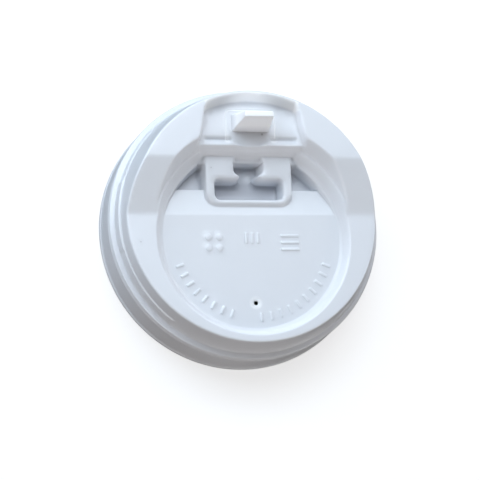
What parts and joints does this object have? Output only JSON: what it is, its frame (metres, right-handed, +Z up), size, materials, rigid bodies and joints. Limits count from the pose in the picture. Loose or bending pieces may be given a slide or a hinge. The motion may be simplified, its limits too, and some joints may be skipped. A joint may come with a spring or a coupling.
{
  "type": "coffee cup lid",
  "caption": "Round plastic lid for a hot drink cup, with a skirt that grips the cup, a sloping rim, a sunken top, a scored lift-back tab with a plug, and a T-shaped slot that holds the tab.",
  "frame": {"origin": "centre of the underside of the lip, on the axis of the round skirt", "axes": "+Z up along the axis of the skirt, +Y towards the drinking side with the tab, +X to the right when seen from above with the tab at the top"},
  "size_m": [0.0936, 0.0936, 0.0402],
  "materials": {
    "white_plastic": "smooth white formed sheet with a soft gloss"
  },
  "bodies": {
    "root": {"cup_lid": "white_plastic"}
  },
  "joints": []
}
